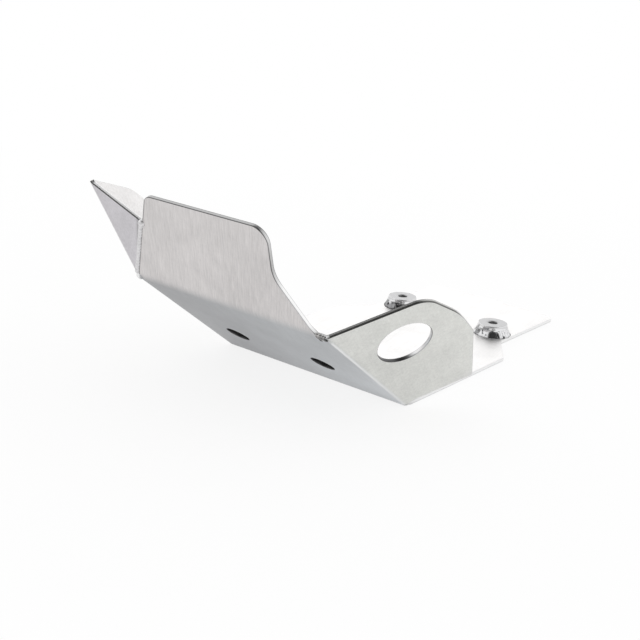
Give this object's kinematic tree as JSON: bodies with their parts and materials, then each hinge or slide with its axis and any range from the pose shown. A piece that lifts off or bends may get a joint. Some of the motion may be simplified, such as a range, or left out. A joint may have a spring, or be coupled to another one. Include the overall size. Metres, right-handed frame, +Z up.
{
  "type": "motorcycle skid plate",
  "caption": "Folded aluminium skid plate for a motorcycle's underside: flat base, rising slope, front panel, a wing at each side and bolt cups welded inside.",
  "frame": {"origin": "underside of the flat base, on the centre line, halfway between the front fold and the rear edge", "axes": "+Z up from the underside, +Y towards the rear wheel, +X towards the side with the round hole; left and right are named as seen from in front of the machine"},
  "size_m": [0.3029, 0.4602, 0.1671],
  "materials": {
    "sheet_aluminium": "brushed sheet, satin",
    "turned_aluminium": "turned and polished",
    "weld_aluminium": "as-welded bead"
  },
  "bodies": {
    "root": {"folded_plate": "sheet_aluminium", "front_left_cup": "turned_aluminium", "front_right_cup": "turned_aluminium", "rear_left_cup": "turned_aluminium", "rear_right_cup": "turned_aluminium", "front_left_cup_weld": "weld_aluminium", "front_right_cup_weld": "weld_aluminium", "rear_left_cup_weld": "weld_aluminium", "rear_right_cup_weld": "weld_aluminium", "flap_weld": "weld_aluminium", "relief_weld": "weld_aluminium"}
  },
  "joints": []
}
